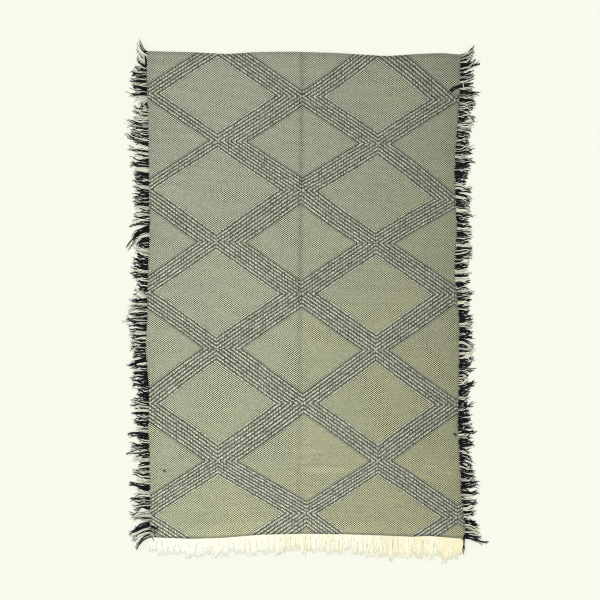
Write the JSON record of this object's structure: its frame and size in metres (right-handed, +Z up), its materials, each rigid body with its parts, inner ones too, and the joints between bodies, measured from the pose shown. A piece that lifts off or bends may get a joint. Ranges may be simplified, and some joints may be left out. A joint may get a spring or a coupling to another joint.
{
  "type": "flat-woven wool kilim rug",
  "caption": "Flat-woven wool rug lying flat, with a diamond lattice in black and cream and fringes on three sides.",
  "frame": {"origin": "on the surface that the rug lies on, under the middle of its whole outline with the fringes", "axes": "+X across the cloth towards the right side fringe, +Y along it towards the closed top edge, +Z up from the floor"},
  "size_m": [1.6988, 2.4838, 0.0052],
  "materials": {
    "field": "weft-faced wool flatweave of black and cream checks, dry and matt",
    "weft_ends": "hand-spun black and cream wool yarn ends, matt and slightly hairy",
    "warp_ends": "soft cream wool warp ends, matt"
  },
  "bodies": {
    "root": {"rug_field": "field", "fringe_left": "weft_ends", "fringe_right": "weft_ends", "fringe_bottom": "warp_ends"}
  },
  "joints": []
}
